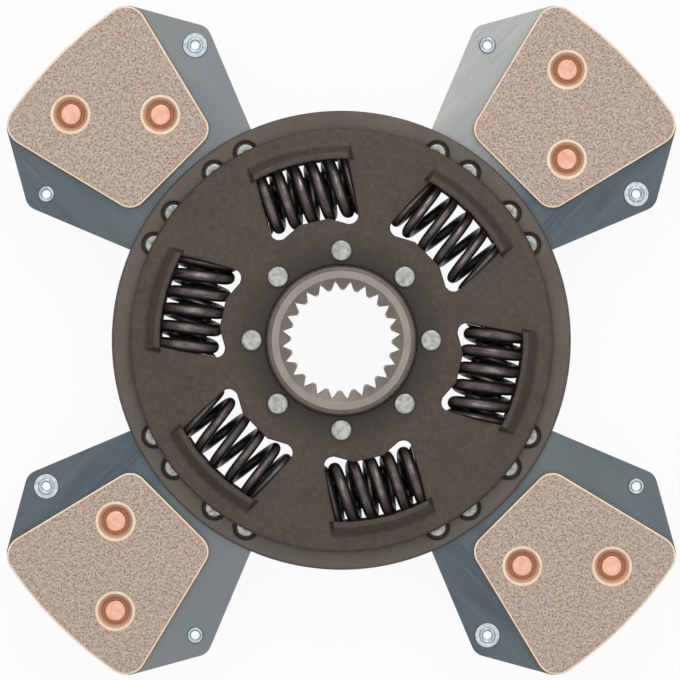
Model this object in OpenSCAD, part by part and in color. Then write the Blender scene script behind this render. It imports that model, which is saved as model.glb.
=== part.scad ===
// Clutch disc with four sintered friction paddles and a torsion damper.
// The origin is on the hub's axis in the middle plane of the friction pads.
// +Z runs along the axis towards the front, the short end of the hub.

/* [Friction pads] */
// Outside diameter over the friction pads
disc_d = 310; // [304:1:316]
// Gap between the driven plates' rim and a pad's straight inner edge
pad_gap = 3.25; // [2:0.25:6]
// Width of a pad along its inner edge, between the corners of its straight sides
pad_inner_w = 44; // [40:0.5:48]
// Width of a pad at its outer corners
pad_outer_w = 73.2; // [70:0.2:76]
// Radius of a pad's inner corners
pad_inner_corner = 7; // [4:0.5:9]
// Radius of a pad's outer corners
pad_outer_corner = 8; // [5:0.5:9]
// Thickness of a pad from the paddle sheet to the friction face
pad_t = 3.8; // [3.4:0.1:5]
// Thickness of the sheet that the pad's backing cup is pressed from
cup_t = 0.8; // [0.6:0.1:1]
// How far the friction material stands above the cup's rim
pad_stand = 0.5; // [0.3:0.1:0.8]
// Diameter of the sunk hole over each pad rivet
pad_sink_d = 15.8; // [14:0.2:17]
// Width of the cup's flat rim round that hole
pad_sink_rim_w = 1.2; // [0.6:0.1:1.6]
// Shank diameter of a pad rivet
pad_rivet_d = 5; // [4:0.2:6]
// Head diameter of a pad rivet
pad_rivet_head_d = 8.3; // [7.6:0.1:9.2]
// Head height of a pad rivet
pad_rivet_head_h = 1.4; // [1:0.1:1.8]
// Distance from the disc's outside to the outer rivet of a pad, along the paddle
pad_rivet_outer_margin = 19.3; // [17:0.1:23]
// Distance from a pad's inner edge to its inner rivet, along the paddle
pad_rivet_inner_margin = 19.2; // [16:0.1:22]
// Offset of each pad rivet from the paddle's centre line
pad_rivet_v = 12.2; // [11:0.2:13]

/* [Paddles] */
// Thickness of one paddle sheet; two lie face to face
sheet_t = 1.2; // [1:0.1:1.6]
// Distance from the disc's outside to a paddle's widest place
shoulder_margin = 32.6; // [29:0.2:36]
// Width of a paddle at its widest place
shoulder_w = 98.4; // [94:0.2:102]
// Width of a paddle at the rim of the driven plates
root_w = 71; // [66:0.5:75]
// Width of a paddle at its outer corners
tip_w = 66.2; // [64:0.2:69]
// Radius of a paddle's shoulders
shoulder_corner = 6; // [3:0.5:9]
// Radius of a paddle's outer corners
tip_corner = 5; // [3:0.5:8]
// Distance from a paddle's shoulder in to the middle of its eyelet
eyelet_side_margin = 8.45; // [7.6:0.05:9.6]
// Distance from a paddle's widest place to its eyelets, towards the axis
eyelet_root_margin = 1.7; // [0:0.1:4]
// Diameter of an eyelet's broad flange
eyelet_flange_d = 10; // [8.4:0.1:10.4]
// Diameter of an eyelet's rolled end
eyelet_roll_d = 6.6; // [6.2:0.1:7.6]
// Outside diameter of an eyelet's barrel
eyelet_barrel_d = 4.8; // [4.4:0.1:5.4]
// Diameter of the hole through an eyelet
eyelet_hole_d = 3.3; // [2.6:0.1:3.6]
// Thickness of an eyelet's flange
eyelet_flange_t = 0.6; // [0.4:0.1:1]

/* [Driven plates] */
// Width of the driven plates' rim outside the circle of the paddle rivets
driven_rim_w = 7.45; // [7:0.05:9]
// Thickness of one driven plate
driven_t = 4.2; // [4:0.1:5]
// How far the circle of the paddle rivets lies inside the covers' edge
root_rivet_inset = 0.4; // [0:0.1:1]
// Shank diameter of a paddle rivet
root_rivet_d = 4.6; // [4:0.1:5.4]
// Head diameter of a paddle rivet
root_rivet_head_d = 7.4; // [6.6:0.1:8]
// Head height of a paddle rivet
root_rivet_head_h = 1.8; // [1.4:0.1:2]
// Diameter of the clearance sink round a paddle rivet's head
root_sink_d = 9.9; // [9:0.1:10.4]
// How far a paddle rivet's head lies below the driven plate's face
root_sink_depth = 0.4; // [0.2:0.1:0.8]
// Angle of the inner pair of paddle rivets from the paddle's centre line
root_rivet_inner_angle = 7.85; // [7.4:0.05:8.6]
// Angle of the outer pair of paddle rivets from the paddle's centre line
root_rivet_outer_angle = 17.95; // [17.4:0.05:18.4]

/* [Hub] */
// Wall of the hub barrel outside the spline
hub_wall = 5.3; // [4.6:0.1:6]
// How far the hub stands above the front cover
hub_rise = 6.5; // [5:0.5:12]
// How far the hub stands below the rear cover
hub_drop = 20; // [14:1:30]
// Number of spline teeth
spline_teeth = 24; // [20:1:26]
// Diameter across the bottoms of the spline spaces
spline_major_d = 45.6; // [44:0.1:47]
// Height of a spline tooth
spline_tooth_h = 3; // [2.4:0.1:3.4]
// Width of the lead-in chamfer outside the bottoms of the spline spaces
spline_mouth_w = 1.1; // [0.6:0.1:1.6]
// Bevel on the outside of the hub barrel's ends
hub_edge = 1.4; // [0.8:0.1:2]
// Width of the hub's flange, which the driven plates turn on
flange_w = 10.9; // [9:0.1:13]
// Height of the stop lobes above the flange
lobe_h = 3; // [2.4:0.1:3.2]
// Width of a stop lobe
lobe_w = 6; // [5:0.1:7]
// Twist of the damper to each side, in degrees
twist_limit = 4; // [3:0.5:6]

/* [Hub rivets] */
// Shank diameter of a hub rivet
hub_rivet_d = 5; // [4.4:0.1:5.4]
// Head diameter of a hub rivet
hub_rivet_head_d = 8.3; // [7.4:0.1:8.6]
// Head height of a hub rivet
hub_rivet_head_h = 1.6; // [1.2:0.1:2.4]

/* [Cover plates] */
// Width of a cover plate's rim outside the lips
cover_rim_w = 6.4; // [5.6:0.1:7.6]
// Thickness of a cover plate
cover_t = 3.5; // [3:0.1:4]
// Gap between a cover plate's centre hole and the hub barrel
cover_bore_gap = 0.9; // [0.6:0.1:1.4]
// How far a window's inner edge reaches over the side of the spring
window_hold = 1.5; // [0.8:0.1:1.7]
// How far a lip's free edge reaches over the side of the spring
lip_hold = 0.9; // [0.2:0.1:1.3]
// Width of a lip from its free edge to its foot
lip_w = 5.4; // [5.1:0.1:6.4]
// Width of the flat land along a lip's free edge
lip_land_w = 2.2; // [1.6:0.1:2.6]
// Radius of the bend at a lip's foot
lip_blend_r = 3; // [1.5:0.5:4]
// How far a lip reaches past each side of its window
lip_end_w = 2.1; // [1.8:0.1:2.8]
// Radius of the pockets in a window's inner corners
pocket_r = 3.4; // [2.8:0.1:3.8]
// Depth of the pockets below a window's inner edge
pocket_depth = 3.9; // [3.2:0.1:4.2]
// Width of the slope from a window's inner edge down to a pocket
pocket_slope_w = 7.1; // [5:0.1:8]
// Slant of a window's sides, in degrees
window_slant = 2; // [0:0.1:3]

/* [Springs] */
// Distance between the stop lobes and the nearest side of a spring
spring_land = 3.3; // [2.8:0.1:4]
// Outside diameter of a heavy spring
heavy_d = 25.4; // [25:0.1:25.6]
// Wire diameter of a heavy spring
heavy_wire = 4.8; // [4.4:0.1:5.2]
// Length of a heavy spring
heavy_l = 34.5; // [33.6:0.1:36]
// Outside diameter of a light spring
light_d = 25; // [24.4:0.1:25.4]
// Wire diameter of a light spring
light_wire = 3.9; // [3.4:0.1:4.4]
// Length of a light spring
light_l = 36.5; // [35:0.1:37.4]
// Wire diameter of the spring inside a heavy one
inner_wire = 2.6; // [2:0.1:2.8]
// Gap between a heavy spring and the one inside it
nest_gap = 0.6; // [0.4:0.1:0.8]

/* [Friction washers] */
// Width of the friction washers and the disc spring
washer_w = 5; // [4:0.1:5.4]
// Thickness of the front friction washer, the gap between a cover and a driven plate
washer_t = 1.6; // [1.4:0.1:2.4]
// Thickness of the disc spring behind the rear friction washer
disc_spring_t = 0.7; // [0.5:0.1:0.9]

/* [Hidden] */

// Shared clearances
overrun = 1;
rivet_fit = 0.05;
running_fit = 0.05;
spring_play = 0.12;
lobe_play = 0.5;
cup_fit = 0.02;
head_gap = 0.9;
sink_floor_gap = 0.45;
driven_window_outer_gap = 0.4;
driven_window_inner_gap = 2.5;

// Small sizes of the plates and paddles
plate_edge = 0.6;
root_margin = 4.7;
tip_inset = 0.8;
root_overlap = 6;

// Shares of the sizes that they follow
hub_rivet_place_share = 0.587;
mouth_slope_share = 0.58;
pocket_inset_share = 0.02;
pocket_floor_share = 1.35;
lip_end_lean_share = 0.5;
dimple_d_share = 0.4;
dimple_depth_share = 0.1;
head_round_share = 0.5;
corner_room_share = 1.15;
pad_corner_shift_share = 1.25;
wire_step_share = 0.008;
wire_over_share = 0.25;

// A spline space, from the teeth's tips to its bottom: height in the tooth, width in the pitch
spline_space_shares = [[0, 0.76], [0.2, 0.58], [1, 0.1]];

// Turn of the spline from the paddles, in degrees
spline_turn = -1.6;

// Half turns of each kind of spring: closed, open, closed
heavy_turns = [1, 10, 1];
inner_turns = [2, 15, 2];
light_turns = [2, 8, 1];

// Step of a closed half turn, as a share of the wire
heavy_closed_share = 0.28;
inner_closed_share = 0.53;
light_closed_share = 0.466;

// Colours
steel_dark = "#5a524a";
steel_turned = "#968a82";
steel_blue = "#5a6970";
zinc = "#c8cac6";
copper = "#d9956c";
copper_rim = "#c99a5f";
sinter = "#af9b8c";
spring_black = "#1d1a19";
washer_grey = "#4a4a48";

// Angles, counted from +X towards +Y
paddle_angles = [45, 135, 225, 315];
heavy_angles = [103, 167, 283, 347];
light_angles = [45, 225];
lobe_angles = [74, 135, 196, 254, 315, 376];
hub_rivet_step = 45;

// Distances from the axis, from the spline outwards
spline_minor_d = spline_major_d - 2 * spline_tooth_h;
spline_mouth_d = spline_major_d + 2 * spline_mouth_w;
hub_d = spline_major_d + 2 * hub_wall;
flange_d = hub_d + 2 * flange_w;
hub_rivet_r = hub_d / 2 + flange_w * hub_rivet_place_share;
washer_d = flange_d + 2 * washer_w;
cover_bore_d = hub_d + 2 * cover_bore_gap;
widest_spring_r = max(heavy_d, light_d) / 2;
spring_r = flange_d / 2 + lobe_h + spring_land + widest_spring_r;
window_inner_r = spring_r - widest_spring_r + window_hold;
window_outer_r = spring_r + widest_spring_r - lip_hold;
lip_root_r = window_outer_r + lip_w;
cover_d = 2 * (lip_root_r + cover_rim_w);
root_rivet_r = cover_d / 2 - root_rivet_inset;
driven_d = 2 * (root_rivet_r + driven_rim_w);
pad_inner_u = driven_d / 2 + pad_gap;
pad_rivet_inner_u = pad_inner_u + pad_rivet_inner_margin;
pad_rivet_outer_u = disc_d / 2 - pad_rivet_outer_margin;
shoulder_u = disc_d / 2 - shoulder_margin;

// Levels along the axis
driven_z = sheet_t;
driven_face_z = driven_z + driven_t;
cover_z = driven_face_z + washer_t;
cover_face_z = cover_z + cover_t;
hub_front_z = cover_face_z + hub_rise;
hub_rear_z = -cover_face_z - hub_drop;
pad_face_z = sheet_t + pad_t;
cup_rim_z = pad_face_z - pad_stand;

// Half widths of the windows where the spring's middle line crosses them
heavy_window_w = heavy_l / 2 + spring_play + heavy_d / 2 * tan(window_slant);
light_window_w = light_l / 2 + spring_play + light_d / 2 * tan(window_slant);

// Fillet points for one corner of an outline; a radius of zero keeps the corner
function unit(v) = v / norm(v);
function corner_points(before, at, after, r, steps) =
    r == 0 ? [at] :
    let (
        a = unit(before - at),
        b = unit(after - at),
        half = acos(a * b) / 2,
        reach = r / tan(half),
        middle = at + unit(a + b) * r / sin(half),
        from = at + a * reach - middle,
        to = at + b * reach - middle,
        start = atan2(from[1], from[0]),
        raw = atan2(to[1], to[0]) - start,
        turn = raw > 180 ? raw - 360 : raw < -180 ? raw + 360 : raw
    )
    [for (i = [0 : steps]) middle + r * [cos(start + turn * i / steps), sin(start + turn * i / steps)]];

function rounded(points, radii, steps = 8) =
    let (n = len(points))
    [for (i = [0 : n - 1])
        each corner_points(points[(i + n - 1) % n], points[i], points[(i + 1) % n], radii[i], steps)];

// Puts a shape drawn with +Y along a paddle or window at an angle round the axis
module around(angle) {
    rotate([0, 0, angle - 90])
    children();
}

// Draws its children at both ends of the stack, the second one turned face down
module both_faces() {
    children();
    mirror([0, 0, 1])
    children();
}

module front_or_rear(front) {
    mirror([0, 0, front ? 0 : 1])
    children();
}

// A washer or plate with a small bevel on its two rims
module bevelled_ring(outer_r, inner_r, z, t, bevel) {
    rotate_extrude($fn = 180)
    polygon([
        [inner_r, z],
        [outer_r - bevel, z],
        [outer_r, z + bevel],
        [outer_r, z + t - bevel],
        [outer_r - bevel, z + t],
        [inner_r, z + t]
    ]);
}

// Hub

// The bore with one space between each two spline teeth
module spline_bore() {
    pitch = 360 / spline_teeth;
    last = len(spline_space_shares) - 1;
    polygon([
        for (i = [0 : spline_teeth - 1])
        for (side = [-1, 1])
        for (k = [0 : last])
        let (
            s = spline_space_shares[side < 0 ? k : last - k],
            a = spline_turn + pitch * (i + 0.5 + side * s[1] / 2)
        )
        (spline_minor_d / 2 + s[0] * spline_tooth_h) * [cos(a), sin(a)]
    ]);
}

// Lead-in cone at one end of the bore, cut from outside the end face inwards
module mouth_cone(end_z, inwards) {
    mouth_r = spline_mouth_d / 2;
    rotate_extrude($fn = 120)
    polygon([
        [0, end_z - inwards * overrun],
        [mouth_r + overrun / mouth_slope_share, end_z - inwards * overrun],
        [0, end_z + inwards * mouth_r * mouth_slope_share]
    ]);
}

module hub() {
    barrel_r = hub_d / 2;
    color(steel_turned)
    difference() {
        union() {
            rotate_extrude($fn = 180)
            polygon(rounded(
                [
                    [0, hub_rear_z],
                    [barrel_r, hub_rear_z],
                    [barrel_r, hub_front_z],
                    [0, hub_front_z]
                ],
                [0, hub_edge, hub_edge, 0],
                1
            ));
            translate([0, 0, -cover_z])
            cylinder(d = flange_d, h = 2 * cover_z, $fn = 180);
            intersection() {
                for (a = lobe_angles)
                    around(a)
                    translate([-lobe_w / 2, barrel_r, -driven_face_z + lobe_play])
                    cube([lobe_w, flange_d, 2 * (driven_face_z - lobe_play)]);
                cylinder(d = flange_d + 2 * lobe_h, h = 2 * cover_z, center = true, $fn = 180);
            }
        }
        translate([0, 0, hub_rear_z - overrun])
        linear_extrude(height = hub_front_z - hub_rear_z + 2 * overrun)
        spline_bore();
        mouth_cone(hub_front_z, -1);
        mouth_cone(hub_rear_z, 1);
        for (a = [0 : hub_rivet_step : 360 - hub_rivet_step])
            around(a)
            translate([0, hub_rivet_r, -cover_z - overrun])
            cylinder(d = hub_rivet_d + 2 * rivet_fit, h = 2 * (cover_z + overrun), $fn = 36);
    }
}

// Cover plates

// Half width of a window at a distance from the axis
function window_half(half_w, y) = half_w - (spring_r - y) * tan(window_slant);

// Outline of a window, seen from the front with the outside of the disc upwards
module window_outline(half_w) {
    low = window_half(half_w, window_inner_r);
    high = window_half(half_w, lip_root_r);
    intersection() {
        polygon([
            [-low, window_inner_r],
            [low, window_inner_r],
            [high, lip_root_r],
            [-high, lip_root_r]
        ]);
        circle(r = window_outer_r, $fn = 180);
    }
    for (side = [-1, 1])
        window_pocket(half_w, side);
}

// Pocket in one inner corner of a window, where the end of the spring's wire turns in
module window_pocket(half_w, side) {
    inset = pocket_inset_share * pocket_r;
    floor_y = window_inner_r - pocket_depth;
    middle_y = floor_y + pocket_r;
    join_y = window_inner_r + overrun;
    side_x = window_half(half_w, middle_y);
    middle_x = side_x - pocket_r - inset;
    bend_x = side_x - pocket_r * pocket_floor_share;
    top_x = bend_x - pocket_slope_w;
    translate([side * middle_x, middle_y])
    circle(r = pocket_r, $fn = 36);
    polygon([
        [side * window_half(half_w, join_y), join_y],
        [side * side_x, middle_y],
        [side * middle_x, middle_y],
        [side * middle_x, floor_y + inset],
        [side * bend_x, floor_y + inset],
        [side * top_x, window_inner_r],
        [side * top_x, join_y]
    ]);
}

// The lip is the cover's own sheet bent up at 45 degrees over the spring, with a flat land
lip_rise = lip_w - lip_land_w;
lip_under_z = cover_face_z + lip_w - cover_t * sqrt(2);

// A lip's own shape, which closes down to the cover at both ends
module lip(half_w) {
    foot_z = cover_z + cover_t / 2;
    low_z = foot_z - overrun;
    top_z = cover_face_z + lip_rise + overrun;
    face_half = window_half(half_w, window_outer_r) + lip_end_w;
    low_half = face_half + (cover_face_z - low_z) * lip_end_lean_share;
    top_half = face_half - (top_z - cover_face_z) * lip_end_lean_share;
    intersection() {
        rotate_extrude($fn = 180)
        polygon(rounded(
            [
                [window_outer_r, foot_z],
                [lip_root_r + lip_blend_r, foot_z],
                [lip_root_r + lip_blend_r, cover_face_z],
                [lip_root_r, cover_face_z],
                [window_outer_r + lip_land_w, cover_face_z + lip_rise],
                [window_outer_r, cover_face_z + lip_rise]
            ],
            [0, 0, 0, lip_blend_r, 0, 0],
            3
        ));
        rotate([90, 0, 180])
        linear_extrude(height = cover_d / 2)
        polygon([[-low_half, low_z], [low_half, low_z], [top_half, top_z], [-top_half, top_z]]);
    }
}

// Room under the lip, which the bent sheet leaves open to the spring
module lip_relief(half_w) {
    drop = lip_under_z - cover_z + overrun;
    intersection() {
        rotate_extrude($fn = 180)
        polygon([
            [window_outer_r - overrun, cover_z - overrun],
            [window_outer_r + drop, cover_z - overrun],
            [window_outer_r, lip_under_z],
            [window_outer_r - overrun, lip_under_z]
        ]);
        translate([-half_w, 0, 0])
        cube([2 * half_w, cover_d, 2 * cover_face_z]);
    }
}

module windows(angles, half_w) {
    for (a = angles)
        around(a) {
            translate([0, 0, cover_z - overrun])
            linear_extrude(height = cover_t + lip_rise + 2 * overrun)
            window_outline(half_w);
            lip_relief(half_w);
        }
}

module cover_plate() {
    color(steel_dark)
    difference() {
        union() {
            bevelled_ring(cover_d / 2, cover_bore_d / 2, cover_z, cover_t, plate_edge);
            for (a = heavy_angles)
                around(a)
                lip(heavy_window_w);
            for (a = light_angles)
                around(a)
                lip(light_window_w);
        }
        windows(heavy_angles, heavy_window_w);
        windows(light_angles, light_window_w);
        for (a = [0 : hub_rivet_step : 360 - hub_rivet_step])
            around(a)
            translate([0, hub_rivet_r, cover_z - overrun])
            cylinder(d = hub_rivet_d + 2 * rivet_fit, h = cover_t + 2 * overrun, $fn = 36);
    }
}
module front_cover_plate() { cover_plate(); }

// The windows lie alike from both sides, so the rear cover is the same pressing turned over
module rear_cover_plate() { mirror([0, 0, 1]) cover_plate(); }

// Hub rivets

// Head of a rivet standing on z = 0, with a small punch mark in its middle
module rivet_head(d, h) {
    dimple_r = d * dimple_d_share / 2;
    rotate_extrude($fn = 48)
    polygon(rounded(
        [[0, 0], [d / 2, 0], [d / 2, h], [dimple_r, h], [0, h - h * dimple_depth_share]],
        [0, 0, h * head_round_share, 0, 0],
        3
    ));
}

// A rivet through the stack, with a head on each side that starts at seat_z
module rivet(shank_d, head_d, head_h, seat_z) {
    translate([0, 0, -seat_z - head_h / 2])
    cylinder(d = shank_d, h = 2 * seat_z + head_h, $fn = 48);
    both_faces()
    translate([0, 0, seat_z])
    rivet_head(head_d, head_h);
}

module hub_rivets() {
    color(zinc)
    for (a = [0 : hub_rivet_step : 360 - hub_rivet_step])
        around(a)
        translate([0, hub_rivet_r, 0])
        rivet(hub_rivet_d, hub_rivet_head_d, hub_rivet_head_h, cover_face_z);
}

// Friction washers and disc spring

washer_bore_r = flange_d / 2 + rivet_fit;

module front_friction_washer() {
    color(washer_grey)
    translate([0, 0, driven_face_z])
    difference() {
        cylinder(d = washer_d, h = washer_t, $fn = 180);
        translate([0, 0, -overrun])
        cylinder(r = washer_bore_r, h = washer_t + 2 * overrun, $fn = 180);
    }
}

module rear_friction_washer() {
    t = washer_t - disc_spring_t;
    color(washer_grey)
    translate([0, 0, -driven_face_z - t])
    difference() {
        cylinder(d = washer_d, h = t, $fn = 180);
        translate([0, 0, -overrun])
        cylinder(r = washer_bore_r, h = t + 2 * overrun, $fn = 180);
    }
}

module disc_spring() {
    color(spring_black)
    translate([0, 0, -cover_z])
    difference() {
        cylinder(d = washer_d, h = disc_spring_t, $fn = 180);
        translate([0, 0, -overrun])
        cylinder(r = washer_bore_r, h = disc_spring_t + 2 * overrun, $fn = 180);
    }
}

// Driven plates

// The window in a driven plate leaves room over and under the spring
driven_window_inner = spring_r - widest_spring_r - driven_window_inner_gap;

// Angles of the sixteen rivets that hold the paddles
root_rivet_angles = [
    for (a = paddle_angles)
    for (b = [root_rivet_inner_angle, root_rivet_outer_angle])
    for (side = [-1, 1])
    a + side * b
];

module driven_window(half_w) {
    outer = spring_r + widest_spring_r + driven_window_outer_gap;
    translate([-half_w, driven_window_inner, driven_z - overrun])
    cube([2 * half_w, outer - driven_window_inner, driven_t + 2 * overrun]);
}

module driven_plate() {
    bore_r = flange_d / 2 + running_fit;
    notch_r = flange_d / 2 + lobe_h + lobe_play;
    notch_half_a = asin(lobe_w / flange_d) + twist_limit;
    sink_h = root_rivet_head_h + root_sink_depth;
    sink_low_d = root_rivet_head_d + 2 * sink_floor_gap;
    sink_lean = (root_sink_d - sink_low_d) / sink_h;
    color(steel_dark)
    difference() {
        bevelled_ring(driven_d / 2, bore_r, driven_z, driven_t, plate_edge);
        for (a = heavy_angles)
            around(a)
            driven_window(heavy_l / 2 + spring_play);
        for (a = light_angles)
            around(a)
            driven_window(light_l / 2 + spring_play);
        for (a = lobe_angles)
            rotate([0, 0, a - notch_half_a])
            translate([0, 0, driven_z - overrun])
            rotate_extrude(angle = 2 * notch_half_a, $fn = 180)
            square([notch_r, driven_t + 2 * overrun]);
        for (a = root_rivet_angles)
            around(a)
            translate([0, root_rivet_r, 0]) {
                translate([0, 0, driven_z - overrun])
                cylinder(d = root_rivet_d + 2 * rivet_fit, h = driven_t + 2 * overrun, $fn = 36);
                translate([0, 0, driven_face_z - sink_h])
                cylinder(
                    d1 = sink_low_d, d2 = root_sink_d + overrun * sink_lean,
                    h = sink_h + overrun, $fn = 48
                );
            }
    }
}

module front_driven_plate() { driven_plate(); }
module rear_driven_plate() { mirror([0, 0, 1]) driven_plate(); }

module paddle_rivets() {
    color(zinc)
    for (a = root_rivet_angles)
        around(a)
        translate([0, root_rivet_r, 0])
        rivet(
            root_rivet_d, root_rivet_head_d, root_rivet_head_h,
            driven_face_z - root_rivet_head_h - root_sink_depth
        );
}

// Paddle sheets

// Points along the top arc of an outline, from the right side to the left. It leaves
// room for the rounding of the corners at its ends.
function arc_across(r, half_w, corner, steps = 12) =
    let (half_a = asin((half_w - corner * corner_room_share) / r))
    [for (i = [0 : steps]) let (a = half_a - 2 * half_a * i / steps) r * [sin(a), cos(a)]];

module paddle_outline() {
    tip_r = disc_d / 2 - tip_inset;
    tip_half = tip_w / 2;
    tip_u = sqrt(tip_r * tip_r - tip_half * tip_half);
    root_u = driven_d / 2;
    side = (shoulder_w - root_w) / 2 / (shoulder_u - root_u);
    base_u = root_rivet_r - 2 * root_overlap;
    base_half = root_w / 2 - (root_u - base_u) * side;
    arc = arc_across(tip_r, tip_half, tip_corner);
    difference() {
        polygon(rounded(
            concat(
                [[base_half, base_u], [shoulder_w / 2, shoulder_u], [tip_half, tip_u]],
                arc,
                [[-tip_half, tip_u], [-shoulder_w / 2, shoulder_u], [-base_half, base_u]]
            ),
            concat([0, shoulder_corner, tip_corner], [for (p = arc) 0], [tip_corner, shoulder_corner, 0])
        ));
        circle(r = root_rivet_r - root_margin, $fn = 180);
    }
}

pad_rivet_places = [[-pad_rivet_v, pad_rivet_outer_u], [pad_rivet_v, pad_rivet_inner_u]];
eyelet_v = shoulder_w / 2 - eyelet_side_margin;
eyelet_u = shoulder_u - eyelet_root_margin;

module paddle_sheet(angle, front) {
    color(steel_blue)
    around(angle)
    difference() {
        front_or_rear(front)
        linear_extrude(height = sheet_t)
        paddle_outline();
        for (p = pad_rivet_places)
            translate([p[0], p[1], 0])
            cylinder(d = pad_rivet_d + 2 * rivet_fit, h = 4 * sheet_t, center = true, $fn = 36);
        for (side = [-1, 1]) {
            translate([side * eyelet_v, eyelet_u, 0])
            cylinder(d = eyelet_barrel_d + 2 * rivet_fit, h = 4 * sheet_t, center = true, $fn = 36);
            for (b = [root_rivet_inner_angle, root_rivet_outer_angle])
                rotate([0, 0, side * b])
                translate([0, root_rivet_r, 0])
                cylinder(d = root_rivet_d + 2 * rivet_fit, h = 4 * sheet_t, center = true, $fn = 36);
        }
    }
}

// Eyelet through both sheets: a broad flange on one side, a rolled end on the other
module eyelet() {
    translate([0, 0, -sheet_t])
    difference() {
        union() {
            cylinder(d = eyelet_barrel_d, h = 2 * sheet_t, $fn = 48);
            translate([0, 0, 2 * sheet_t])
            cylinder(
                d1 = eyelet_flange_d, d2 = eyelet_flange_d - eyelet_flange_t,
                h = eyelet_flange_t, $fn = 48
            );
            translate([0, 0, -eyelet_flange_t])
            cylinder(
                d1 = eyelet_roll_d - eyelet_flange_t, d2 = eyelet_roll_d,
                h = eyelet_flange_t, $fn = 48
            );
        }
        translate([0, 0, -eyelet_flange_t - overrun])
        cylinder(d = eyelet_hole_d, h = 2 * (sheet_t + eyelet_flange_t + overrun), $fn = 36);
    }
}

module eyelets() {
    color(zinc)
    for (a = paddle_angles)
        around(a)
        for (side = [-1, 1])
            translate([side * eyelet_v, eyelet_u, 0])
            front_or_rear(side > 0)
            eyelet();
}

// Friction pads

// Outline of a pad, drawn in by inset on every side
module pad_outline(inset) {
    r = disc_d / 2 - inset;
    inner_half = pad_inner_w / 2;
    outer_half = pad_outer_w / 2;
    outer_u = sqrt(disc_d * disc_d / 4 - outer_half * outer_half);
    lean = atan((outer_half - inner_half) / (outer_u - pad_inner_u));
    low_u = pad_inner_u + inset;
    side_shift = inset / cos(lean);
    low_half = inner_half + inset * tan(lean) - side_shift;
    high_half = outer_half - inset * pad_corner_shift_share;
    high_u = sqrt(r * r - high_half * high_half);
    arc = arc_across(r, high_half, pad_outer_corner - inset);
    polygon(rounded(
        concat(
            [[low_half, low_u], [high_half, high_u]],
            arc,
            [[-high_half, high_u], [-low_half, low_u]]
        ),
        concat(
            [pad_inner_corner - inset, pad_outer_corner - inset],
            [for (p = arc) 0],
            [pad_outer_corner - inset, pad_inner_corner - inset]
        )
    ));
}

// Backing cup: floor, rim and a funnel that lines the sink round each rivet
module pad_cup(angle, front) {
    sink_r = pad_sink_d / 2;
    floor_z = sheet_t + cup_t;
    funnel_low_r = pad_rivet_head_d / 2 + head_gap;
    funnel_high_r = sink_r - pad_sink_rim_w;
    color(copper_rim)
    around(angle)
    front_or_rear(front)
    difference() {
        union() {
            difference() {
                translate([0, 0, sheet_t])
                linear_extrude(height = cup_rim_z - sheet_t)
                pad_outline(0);
                translate([0, 0, floor_z])
                linear_extrude(height = cup_rim_z)
                pad_outline(cup_t);
            }
            for (p = pad_rivet_places)
                translate([p[0], p[1], sheet_t])
                cylinder(r = sink_r, h = cup_rim_z - sheet_t, $fn = 72);
        }
        for (p = pad_rivet_places)
            translate([p[0], p[1], 0]) {
                translate([0, 0, floor_z])
                cylinder(
                    r1 = funnel_low_r, r2 = funnel_high_r,
                    h = cup_rim_z - floor_z, $fn = 72
                );
                translate([0, 0, cup_rim_z])
                cylinder(r = funnel_high_r, h = overrun, $fn = 72);
                cylinder(d = pad_rivet_d + 2 * rivet_fit, h = pad_face_z, $fn = 36);
            }
    }
}

module friction_pad(angle, front) {
    color(sinter)
    around(angle)
    front_or_rear(front)
    difference() {
        translate([0, 0, sheet_t + cup_t])
        linear_extrude(height = pad_t - cup_t)
        pad_outline(cup_t + cup_fit);
        for (p = pad_rivet_places)
            translate([p[0], p[1], 0])
            cylinder(d = pad_sink_d + 2 * cup_fit, h = 2 * pad_face_z, $fn = 72);
    }
}

module pad_rivets() {
    color(copper)
    for (a = paddle_angles)
        around(a)
        for (p = pad_rivet_places)
            translate([p[0], p[1], 0])
            rivet(pad_rivet_d, pad_rivet_head_d, pad_rivet_head_h, sheet_t + cup_t);
}

// Springs

// Half a turn of wire about the origin: it leaves +Y half a step back along X,
// passes over +Z and reaches -Y half a step on
module half_turn(step, coil_r, wire) {
    rotate([0, 0, atan(step / 2 / coil_r)])
    rotate([90, 0, 90])
    rotate_extrude(angle = 180, $fn = 48)
    translate([norm([coil_r, step / 2]), 0])
    circle(d = wire, $fn = 24);
}

// Coil spring along X with closed and ground ends. Half turns alternate between the front
// and the back. The back ones are drawn a hair thinner, so that each end disc lies inside
// the next one instead of sharing its rim.
module coil_spring(length, outer_d, wire, turns, closed_share, starts_in_front) {
    coil_r = (outer_d - wire) / 2;
    closed = wire * closed_share;
    over = wire * wire_over_share;
    count = turns[0] + turns[1] + turns[2];
    pace = (length + 2 * over - (turns[0] + turns[2]) * closed) / turns[1];
    steps = [for (i = [0 : count - 1]) i < turns[0] || i >= turns[0] + turns[1] ? closed : pace];
    starts = [for (i = 0, x = -length / 2 - over; i < count; x = x + steps[i], i = i + 1) x];
    intersection() {
        for (i = [0 : count - 1]) {
            back = starts_in_front ? i % 2 : (i + 1) % 2;
            translate([starts[i] + steps[i] / 2, 0, 0])
            rotate([180 * back, 0, 0])
            half_turn(steps[i], coil_r, wire * (1 - back * wire_step_share));
        }
        cube([length, 2 * outer_d, 2 * outer_d], center = true);
    }
}

module at_window(angle) {
    around(angle)
    translate([0, spring_r, 0])
    children();
}

module heavy_spring(angle) {
    color(spring_black)
    at_window(angle)
    coil_spring(heavy_l, heavy_d, heavy_wire, heavy_turns, heavy_closed_share, false);
}

// The inner spring is wound the other way, so that the two cannot hook together
module inner_spring(angle) {
    inner_d = heavy_d - 2 * heavy_wire - 2 * nest_gap;
    color(spring_black)
    at_window(angle)
    mirror([0, 1, 0])
    coil_spring(heavy_l, inner_d, inner_wire, inner_turns, inner_closed_share, true);
}

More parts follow.
